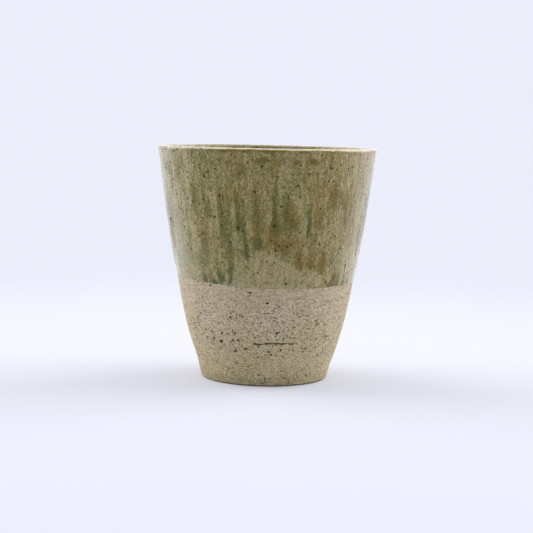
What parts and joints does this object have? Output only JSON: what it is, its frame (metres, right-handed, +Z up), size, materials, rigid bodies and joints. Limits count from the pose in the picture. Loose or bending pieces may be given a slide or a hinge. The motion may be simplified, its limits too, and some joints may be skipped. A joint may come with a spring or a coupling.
{
  "type": "yunomi tea cup",
  "caption": "Tall handleless tea cup of thrown stoneware, tapering to a trimmed foot ring, with an olive ash glaze running over a clear coat above a bare clay base.",
  "frame": {"origin": "centre of the foot ring, on the plane the cup stands on", "axes": "+Z up along the cup's axis; -Y towards the side that the picture shows; +X to its right"},
  "size_m": [0.0802, 0.0802, 0.085],
  "materials": {
    "bare_clay": "unglazed, gritty, matte",
    "inside_glaze": "gloss",
    "clear_coat": "gloss",
    "olive_ash": "gloss, mottled",
    "iron": "satin",
    "feldspar": "satin"
  },
  "bodies": {
    "root": {"clay_body": "bare_clay", "liner_glaze": "inside_glaze", "coat_glaze": "clear_coat", "ash_glaze": "olive_ash", "iron_specks": "iron", "pale_grit": "feldspar"}
  },
  "joints": []
}
